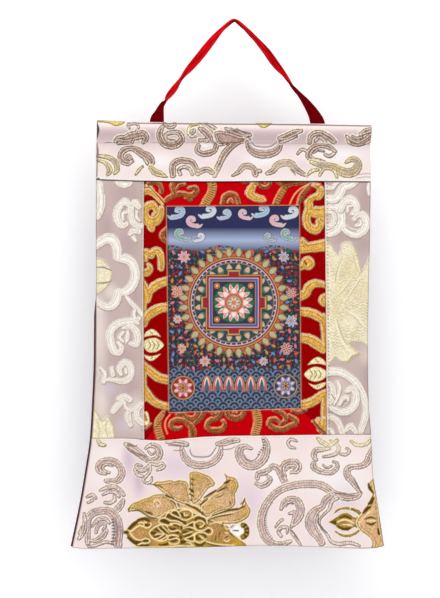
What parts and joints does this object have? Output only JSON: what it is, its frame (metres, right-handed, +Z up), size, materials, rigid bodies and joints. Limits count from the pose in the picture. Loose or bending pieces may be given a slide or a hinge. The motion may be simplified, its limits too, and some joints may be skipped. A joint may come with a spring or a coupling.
{
  "type": "thangka scroll painting with hanging ribbon",
  "caption": "Small hanging scroll: a picture panel in a mitred red brocade frame, set in ivory brocade with a rod sleeve, maroon lining and red ribbon loop.",
  "frame": {"origin": "peak of the hanging ribbon, where a nail or hook holds the scroll", "axes": "+Z up, +X to the right as seen from the front, front faces -Y"},
  "size_m": [0.3391, 0.0256, 0.5786],
  "materials": {
    "ivory_brocade": "satin brocade",
    "mauve_brocade": "satin brocade",
    "red_brocade": "satin brocade",
    "picture_cloth": "printed satin",
    "maroon_lining": "matt cotton",
    "red_satin": "satin"
  },
  "bodies": {
    "root": {"heading": "ivory_brocade", "bottom_panel": "ivory_brocade", "left_panel": "mauve_brocade", "right_panel": "mauve_brocade", "frame_top": "red_brocade", "frame_bottom": "red_brocade", "frame_left": "red_brocade", "frame_right": "red_brocade", "picture_panel": "picture_cloth", "lining": "maroon_lining", "ribbon": "red_satin"}
  },
  "joints": []
}
